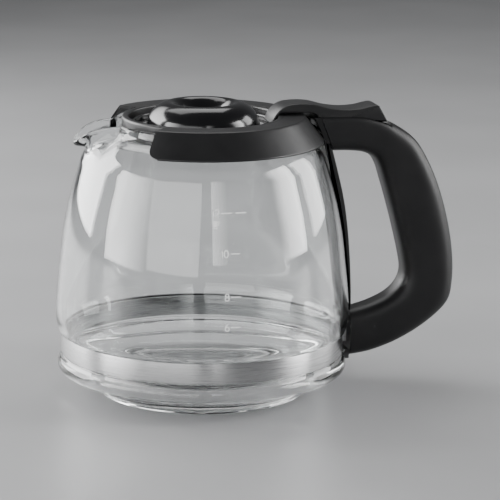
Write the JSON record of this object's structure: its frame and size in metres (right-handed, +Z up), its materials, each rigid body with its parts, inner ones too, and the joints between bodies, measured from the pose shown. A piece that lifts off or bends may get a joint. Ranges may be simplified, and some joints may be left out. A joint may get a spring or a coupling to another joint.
{
  "type": "coffee jug",
  "caption": "Glass drip-coffee jug with black collar, hinged lid with thumb lever, loop handle and steel foot band.",
  "frame": {"origin": "on the jug's axis, at the plane of its foot ring", "axes": "+Z up along the jug's axis, handle to +X, spout to -X"},
  "size_m": [0.2088, 0.1506, 0.1494],
  "materials": {
    "glass": "clear",
    "black_satin": "satin",
    "handle_black": "satin",
    "black_gloss": "gloss",
    "band_steel": "brushed",
    "pin_steel": "polished",
    "screw_steel": "zinc plated",
    "silicone": "matte"
  },
  "bodies": {
    "jug": {"glass_jug": "glass", "neck_gasket": "silicone", "collar": "black_satin", "hinge_pin": "pin_steel", "bracket_screws": "screw_steel", "handle_frame": "handle_black", "handle_cover": "handle_black", "cover_screw": "screw_steel", "spine_strip": "handle_black", "root_pads": "silicone", "steel_band": "band_steel", "band_screw": "screw_steel", "band_nut": "screw_steel"},
    "lid": {"lid_base": "black_satin", "lid_dome": "black_gloss", "lid_liner": "black_satin", "lid_screws": "screw_steel"}
  },
  "joints": [
    {"name": "lid_hinge", "type": "hinge", "parent": "jug", "child": "lid", "pos_m": [0.0625, 0, 0.1366], "axis": [0, 1, 0], "range_deg": [0, 25]}
  ]
}
